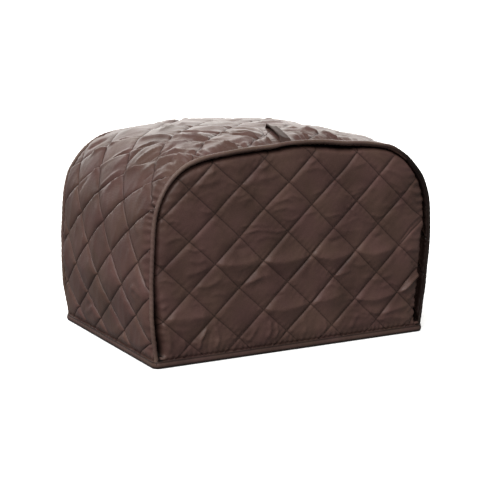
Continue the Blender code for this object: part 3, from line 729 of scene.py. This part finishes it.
def hem_path(on_side, on_corner):
    """The hem's rectangle with rounded corners: middle of the wall, outward direction."""
    radius = BINDING_CORNER - 0.0023
    middle = HEM_SPREAD - CLOTH / 2 - radius
    half = np.array([WIDTH / 2 + middle, DEPTH / 2 + middle])
    corners = np.array([(1, 1), (-1, 1), (-1, -1), (1, -1)])
    points, outs = [], []
    for quarter, corner in enumerate(corners):
        turns = math.pi / 2 * (quarter + np.arange(on_corner + 1) / on_corner)
        out = np.stack([np.cos(turns), np.sin(turns)], -1)
        start = corner * half + radius * out[-1]
        end = corners[(quarter + 1) % 4] * half + radius * out[-1]
        share = np.arange(1, on_side)[:, None] / on_side
        points += [corner * half + radius * out, start + (end - start) * share]
        outs += [out, np.tile(out[-1], (on_side - 1, 1))]
    return np.concatenate(points), np.concatenate(outs)


# Half the binding's section, up the outside and down the inside: half width and height in millimetres
BINDING_SECTION = (
    (0.0, 0.0), (0.9, 0.0), (1.36, 0.3), (1.76, 0.9), (2.1, 1.8), (2.3, 2.8), (2.3, 3.8),
    (2.1, 4.8), (1.8, 5.5), (1.7, 6.0), (1.9, 6.6), (1.5, 7.0), (1.2, 6.9), (1.2, 2.0),
)
BINDING_INSIDE = 0.0012


def make_binding(name):
    """A bias strip folded over the cut edge: its faces belly out between the fold and the stitching."""
    points, outs = hem_path(150, 8)
    run = np.concatenate([[0.0], np.cumsum(np.linalg.norm(np.diff(points, axis=0), axis=1))])
    half = np.array(BINDING_SECTION) / 1000.0
    section = np.concatenate([half, half[:0:-1] * (-1.0, 1.0)])
    wave = 0.00028 * noise(run / 0.012, 0.0, 80) + 0.00016 * waves(run, 0.0064, 2.0, 0.03, 81)
    lift = 0.00030 * noise(run / 0.020, 0.0, 82)
    sections = np.zeros((len(points), len(section), 3))
    for k, (across, up) in enumerate(section):
        belly = math.sin(math.pi * min(up / BINDING_HEIGHT, 1.0)) * (abs(across) > BINDING_INSIDE + 1e-5)
        offset = across + np.sign(across) * wave * belly
        sections[:, k, :2] = points + outs * offset[:, None]
        sections[:, k, 2] = np.maximum(up + lift * ramp(up, 0.005, 0.003), 0.0)
    return swept(name, sections, True)


# One edge of the strap: place across as a share of half its width, and how far the cloth is rolled up there
STRAP_EDGE = ((1.0, 0.10), (0.97, 0.45), (0.86, 0.85), (0.72, 0.75), (0.5, 0.25), (0.2, 0.0))
STRAP_THICKNESS = 0.0011
STRAP_RUN_ON = 0.0045  # its front end reaches this much further, under the piping


def make_strap(name):
    """A folded strip with rolled edges, sewn down at both ends and standing off the quilting between them."""
    half = STRAP_WIDTH / 2
    edges = [(-across, roll) for across, roll in STRAP_EDGE] + list(STRAP_EDGE[::-1])
    upper = [(across * half, 0.00115 * roll) for across, roll in edges]
    lower = [(across * half * 0.96, 0.0004 * roll - STRAP_THICKNESS) for across, roll in edges]
    section = upper + lower[::-1]
    start, end = np.array(STRAP_FRONT), np.array(STRAP_BACK)
    ahead = unit(end - start)
    start = start - ahead * STRAP_RUN_ON
    side = np.array([ahead[1], -ahead[0]])
    share = np.linspace(0.0, 1.0, 90)
    centre = start + (end - start) * share[:, None]
    length = HALF_LENGTH + centre[:, 0]
    level = gusset_level(length, np.maximum(centre[:, 1], -HALF_GUSSET + 0.002))[0]
    _, z, _, out_z = arch(length)
    free = ramp(share, 0.0, 0.06) * ramp(1.0 - share, 0.0, 0.09)
    base = z + level * out_z + STRAP_THICKNESS - 0.0010 + 0.0014 * free
    sections = np.zeros((len(share), len(section), 3))
    for k, (offset, up) in enumerate(section):
        tilt = 0.0034 * free * (0.5 - 0.5 * offset / half)
        wave = 0.00022 * noise(share * 9.0, offset * 400.0, 90)
        sections[:, k, :2] = centre + side * offset
        sections[:, k, 2] = base + up + tilt + wave
    return swept(name, sections, False)


# ---- stitches
# A stitch's rings: place along it, size and height as shares of its length and radius
STITCH_RINGS = ((-0.5, 0.35, -1.0), (-0.22, 1.0, 0.35), (0.22, 1.0, 0.35), (0.5, 0.35, -1.0))
STITCH_SIDES = 5
STITCH_FILL = 0.82  # share of each step along the line that a stitch takes


def along_line(surface, fixed, span, along_first, side, outward):
    """Stitches along one line. surface turns (a, b) into points, and outward says which way is out."""
    count = int((span[1] - span[0]) * side / STITCH)
    middle = span[0] + (np.arange(count) + 0.5) * (span[1] - span[0]) / count

    def at(ahead, across=0.0):
        line = fixed + across + 0.0 * middle
        return surface(middle + ahead, line) if along_first else surface(line, middle + ahead)

    step, aside = 0.3 * STITCH / side, 0.02
    here, ok = at(0.0)
    tangent = unit(at(step)[0] - at(-step)[0])
    normal = unit(np.cross(tangent, at(0.0, aside)[0] - at(0.0, -aside)[0]))
    facing = np.sign((normal * outward(here)).sum(1, keepdims=True))
    normal = normal * np.where(facing == 0, 1.0, facing)
    return here[ok], normal[ok], tangent[ok]


def make_quilting(name, surface, side, a_lines, b_lines, outward):
    """The stitches of both families of lines: rounded beads of thread, sunk at both ends."""
    found = []
    for lines, other, along_first in ((a_lines, b_lines, False), (b_lines, a_lines, True)):
        for fixed in range(*lines):
            found.append(along_line(surface, fixed, other, along_first, side, outward))
    places, normals, tangents = (np.concatenate(arrays)[:, None] for arrays in zip(*found))
    turn = (2 * np.pi * np.arange(STITCH_SIDES) / STITCH_SIDES)[:, None]
    round_it = np.cross(normals, tangents) * np.cos(turn) + normals * np.sin(turn)
    rings = []
    for ahead, size, up in STITCH_RINGS:
        middle = places + tangents * ahead * STITCH_FILL * STITCH + normals * up * THREAD
        rings.append(middle + size * THREAD * round_it)
    points = np.stack(rings, 1)
    quads, caps = tube_faces(len(STITCH_RINGS), STITCH_SIDES)
    starts = (np.arange(len(places)) * len(STITCH_RINGS) * STITCH_SIDES)[:, None, None]
    faces = (quads + starts).reshape(-1, 4).tolist() + (caps + starts).reshape(-1, STITCH_SIDES).tolist()
    return linked(name, points, faces)


def panel_quilting(name, crossing, seed, turn):
    def surface(a, b):
        x, z = panel_places(a, b, crossing, seed)
        level = panel_level(x, z, crossing, seed, turn > 0)[0]
        return panel_points(x, z, level, turn), (to_seam(x, z)[0] > 0.0045) & (z > 0.0100)

    def faced(_):
        return np.array([[0.0, -turn, 0.0]])

    return make_quilting(name, surface, PANEL_SIDE, (-4, 8), (-8, 5), faced)


def gusset_quilting(name):
    def surface(a, b):
        length, y = gusset_places(a, b)
        ok = (np.abs(y) < HALF_GUSSET - 0.0035) & (length > 0.0100) & (length < LENGTH - 0.0100)
        length = np.clip(length, 0.0, LENGTH)
        level = gusset_level(length, np.clip(y, -HALF_GUSSET, HALF_GUSSET))[0]
        return gusset_points(length, y, level), ok

    def from_middle(points):
        return (points - (0.0, 0.0, 0.06)) * (1.0, 0.0, 1.0)

    return make_quilting(name, surface, GUSSET_SIDE, (-12, 20), (-20, 12), from_middle)


# ---- materials
# The twill's two sets of ribs: direction across them, radians of wave to a metre, and height
TWILL = (((0.72, 0.05, 0.69), 5280.0, 0.000018), ((0.69, 0.08, -0.72), 4620.0, 0.000012))
# Two hues that the colour is multiplied by, in patches
HUES = ((0.36, (1.014, 0.974, 1.030)), (0.64, (0.988, 1.022, 0.962)))


class Nodes:
    """Short names for making a material's nodes and linking them."""

    def __init__(self, tree):
        self.tree = tree

    def feed(self, socket, value):
        if isinstance(value, bpy.types.NodeSocket):
            self.tree.links.new(value, socket)
        else:
            socket.default_value = value

    def add(self, kind, inputs, **settings):
        made = self.tree.nodes.new("ShaderNode" + kind)
        for key, value in settings.items():
            setattr(made, key, value)
        for socket, value in inputs.items():
            self.feed(made.inputs[socket], value)
        return made

    def maths(self, operation, *terms):
        return self.add("Math", dict(enumerate(terms)), operation=operation).outputs[0]

    def noise(self, place, scale, detail, rough=0.5):
        inputs = {"Vector": place, "Scale": scale, "Detail": detail, "Roughness": rough}
        return self.add("TexNoise", inputs).outputs["Fac"]

    def eased(self, value, start, end, first, last):
        """From first to last while the value goes from start to end."""
        inputs = {"Value": value, "From Min": start, "From Max": end, "To Min": first, "To Max": last}
        return self.add("MapRange", inputs, interpolation_type="SMOOTHSTEP").outputs["Result"]

    def between(self, value, stops):
        """The colour between two stops."""
        made = self.add("ValToRGB", {"Fac": value})
        for element, (position, colour) in zip(made.color_ramp.elements, stops):
            element.position = position
            element.color = (*colour, 1.0)
        return made.outputs["Color"]

    def times(self, colour, factor):
        inputs = {0: 1.0, 6: colour, 7: factor}
        return self.add("Mix", inputs, data_type="RGBA", blend_type="MULTIPLY").outputs[2]


def cloth_material(name, dark, light, lines, roughness, painted_shades):
    """Twilled satin. lines are the tints along the quilting: the thread's own darker colour plus painted
    shade in the groove. Each entry of painted_shades darkens the colour by place as painted shade.
    """
    material = bpy.data.materials.new(name)
    material.use_nodes = True
    nodes = Nodes(material.node_tree)
    maths = nodes.maths
    place = nodes.add("TexCoord", {}).outputs["Object"]
    cloudy = maths("MULTIPLY", nodes.noise(place, 26.0, 3.0), 0.8)
    grain = maths("MULTIPLY", nodes.noise(place, 900.0, 2.0), 0.35)
    colour = nodes.between(maths("ADD", cloudy, grain), ((0.35, dark), (0.80, light)))
    colour = nodes.times(colour, nodes.between(nodes.noise(place, 34.0, 3.0), HUES))

    # Relief: the twill's ribs, a soft unevenness, and a fine groove along the stitching
    height = maths("MULTIPLY", nodes.noise(place, 95.0, 3.0, 0.55), 0.00042)
    for slant, pitch, rise in TWILL:
        across = nodes.add("VectorMath", {0: place, 1: slant}, operation="DOT_PRODUCT").outputs["Value"]
        rib = maths("SINE", maths("MULTIPLY", across, pitch))
        height = maths("ADD", height, maths("MULTIPLY", rib, rise))
    if lines:
        uv = nodes.add("UVMap", {}, uv_map="quilt").outputs["UV"]
        split = nodes.add("SeparateXYZ", {"Vector": uv}).outputs
        for axis, tint in zip("XY", lines):
            off = maths("ABSOLUTE", maths("SUBTRACT", split[axis], maths("ROUND", split[axis])))
            far = maths("MULTIPLY", off, DIAMOND_SIDE)
            groove = maths("MULTIPLY", nodes.eased(far, 0.0, 0.0010, 0.0, 1.0), 0.00030)
            height = maths("ADD", height, groove)
            # Darker along the stitching: partly the thread's own colour, partly painted shade in the groove
            colour = nodes.times(colour, nodes.eased(far, 0.0001, 0.0009, tint, 1.0))

    # Painted shade: each entry darkens the colour by an attribute or a place, standing in for shade that the
    # lights do not give
    for axis, *limits in painted_shades:
        if axis == "near_seam":
            source = nodes.add("Attribute", {}, attribute_name=axis).outputs["Fac"]
        else:
            source = nodes.add("SeparateXYZ", {"Vector": place}).outputs[axis]
        colour = nodes.times(colour, nodes.eased(source, *limits))

    bump = nodes.add("Bump", {"Strength": 1.0, "Distance": 1.0, "Height": height})
    gloss = maths("ADD", maths("MULTIPLY", nodes.noise(place, 60.0, 2.0), 0.16), roughness - 0.08)
    shader = material.node_tree.nodes["Principled BSDF"]
    nodes.feed(shader.inputs["Normal"], bump.outputs["Normal"])
    nodes.feed(shader.inputs["Base Color"], colour)
    nodes.feed(shader.inputs["Roughness"], gloss)
    shader.inputs["Specular IOR Level"].default_value = 0.22
    return material


# A painted shade: axis or attribute, from a place to a place, and the factors on the colour there
# Painted shade in the crevice behind the piping: the panels' colour darkens to 0.10 near the seam
CREVICE_PAINTED_SHADE = (("near_seam", 0.72, 1.05, 0.10, 1.0),)
# Painted shade on the gusset beside the front's right-hand seam: the colour darkens to 0.18 there
RIGHT_SEAM_PAINTED_SHADE = (("near_seam", 0.0, 0.014, 0.18, 1.0),)
# Painted shade: both pipings darken to 0.15 of their colour towards +X, from x 0.088 to 0.132 m
RIGHT_PIPING_PAINTED_SHADE = (("X", 0.088, 0.132, 1.0, 0.15),)
# Painted shade on the binding: darker at its turned-under foot, down to 0.16, and at its upper edge, down to
# 0.45
BINDING_PAINTED_SHADE = (("Z", 0.0008, 0.0034, 0.16, 1.0), ("Z", 0.0048, 0.0062, 1.0, 0.45))
DARK, LIGHT = (0.062, 0.0330, 0.0265), (0.112, 0.0610, 0.0500)
PANEL_LOOK = (DARK, LIGHT, (0.52, 0.42), 0.44, CREVICE_PAINTED_SHADE)
# Each cloth: darkest and lightest colour, tints along the quilting's two families (thread colour and painted
# groove shade), roughness and painted shades
CLOTHS = {
    "front_satin": PANEL_LOOK,
    "back_satin": PANEL_LOOK,
    "gusset_satin": (DARK, LIGHT, (0.40, 0.60), 0.42, RIGHT_SEAM_PAINTED_SHADE),
    "piping_satin": ((0.086, 0.051, 0.041), (0.145, 0.093, 0.075), None, 0.42, RIGHT_PIPING_PAINTED_SHADE),
    "binding_satin": ((0.056, 0.0310, 0.0250), (0.096, 0.056, 0.046), None, 0.50, BINDING_PAINTED_SHADE),
    # The strap's colour is darker than the other cloths: painted shade for its face
    "strap_satin": ((0.040, 0.023, 0.019), (0.070, 0.042, 0.034), None, 0.78, ()),
    "sewing_thread": ((0.040, 0.022, 0.018), (0.070, 0.040, 0.032), None, 0.5, ()),
}
cloths = {name: cloth_material(name, *look) for name, look in CLOTHS.items()}

# ---- the pieces
# Each panel: the crossing of its lines, its seed, and 1 for the front or -1 for the back
SIDES = {"front": (FRONT_CROSSING, 3, 1.0), "back": (BACK_CROSSING, 7, -1.0)}


def dress(piece, cloth, slot_name, *replaced):
    """The piece with its cloth, in place of the nodes that it replaces. slot_name is not used."""
    piece.data.materials.append(cloths[cloth])
    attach(piece, "root")
    if replaced:
        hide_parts(*replaced)
    return piece


panels, threads = {}, {}
for side, quilting in SIDES.items():
    panel = make_panel(side + "_panel_cloth", *quilting)
    panels[side] = dress(panel, side + "_satin", "quilted_cloth", side + "_panel")
gusset = dress(make_gusset("gusset_cloth_strip"), "gusset_satin", "quilted_cloth", "gusset")
for side, facing, seed in (("front", -1.0, 31), ("back", 1.0, 37)):
    piping = make_piping(side + "_piping_strip", facing, seed)
    dress(piping, "piping_satin", "piping_cloth", side + "_piping")
binding = dress(make_binding("hem_binding_strip"), "binding_satin", "binding_cloth", "hem_binding")
strap = dress(make_strap("top_strap_strip"), "strap_satin", "strap_cloth", "top_strap")
for side, quilting in SIDES.items():
    thread = panel_quilting(side + "_quilting_thread", *quilting)
    threads[side] = dress(thread, "sewing_thread", "quilted_cloth")
gusset_thread = dress(gusset_quilting("gusset_quilting_thread"), "sewing_thread", "quilted_cloth")

# ---- floor, light, camera
FLOOR_HALF = 70.0  # reaches past the top of the picture
FLOOR_CORNERS = np.array([(-1, -1, 0), (1, -1, 0), (1, 1, 0), (-1, 1, 0)])
floor = linked("floor", FLOOR_HALF * FLOOR_CORNERS, [(0, 1, 2, 3)])
floor.location.z = -0.0002
floor_material = bpy.data.materials.new("pale_floor")
floor_material.use_nodes = True
FLOOR_LOOK = {
    "Base Color": (0.90, 0.90, 0.90, 1.0), "Roughness": 0.8, "Specular IOR Level": 0.1,
    "Emission Color": (1.0, 1.0, 1.0, 1.0), "Emission Strength": 0.32,
}
for socket, value in FLOOR_LOOK.items():
    floor_material.node_tree.nodes["Principled BSDF"].inputs[socket].default_value = value
floor.data.materials.append(floor_material)
floor.visible_diffuse = False
floor.visible_glossy = False

world = bpy.data.worlds.new("studio")
bpy.context.scene.world = world
world.use_nodes = True
background = world.node_tree.nodes["Background"]
background.inputs["Color"].default_value = (1.0, 1.0, 1.0, 1.0)
background.inputs["Strength"].default_value = 0.22


def aimed(data, place, target):
    light = bpy.data.objects.new(data.name, data)
    light.location = place
    light.rotation_euler = (Vector(target) - Vector(place)).to_track_quat("-Z", "Y").to_euler()
    bpy.context.scene.collection.objects.link(light)


def panel_light(name, size, energy, place, target, colour=(1.0, 1.0, 1.0)):
    light = bpy.data.lights.new(name, "AREA")
    light.shape = "RECTANGLE"
    light.size, light.size_y = size
    light.energy = energy
    light.color = colour
    aimed(light, place, target)


key = bpy.data.lights.new("overhead_key", "SUN")
key.energy = 3.56
key.angle = math.radians(48)
aimed(key, (-0.58, -0.34, 0.74), (0.0, 0.0, 0.0))
panel_light("back_panel_light", (5.0, 3.2), 169.0, (1.30, 3.1, 1.70), (0.0, 0.0, 0.2), (1.0, 0.985, 0.945))
panel_light("front_card", (1.6, 1.0), 11.0, (-0.5, -2.5, 1.7), (0.0, 0.0, 0.1))
panel_light("left_back_card", (1.2, 1.2), 6.0, (-1.8, 2.5, 0.7), (0.0, 0.0, 0.1))

AZIMUTH, ELEVATION, ROLL = (math.radians(angle) for angle in (29.675, 11.175, 0.47))
DISTANCE = 1.3781
AIM = Vector((0.0062, -0.0046, 0.0803))
level_back = Vector((-math.sin(AZIMUTH), -math.cos(AZIMUTH), 0.0))
back = level_back * math.cos(ELEVATION) + Vector((0.0, 0.0, math.sin(ELEVATION)))
camera_data = bpy.data.cameras.new("camera")
camera_data.sensor_width = 36.0
camera_data.lens = 95.7
camera = bpy.data.objects.new("camera", camera_data)
camera.matrix_world = Matrix.Translation(AIM + back * DISTANCE) @ (
    (-back).to_track_quat("-Z", "Y").to_matrix().to_4x4() @ Matrix.Rotation(ROLL, 4, "Z")
)
bpy.context.scene.collection.objects.link(camera)
bpy.context.scene.camera = camera
bpy.context.scene.view_settings.view_transform = "Standard"
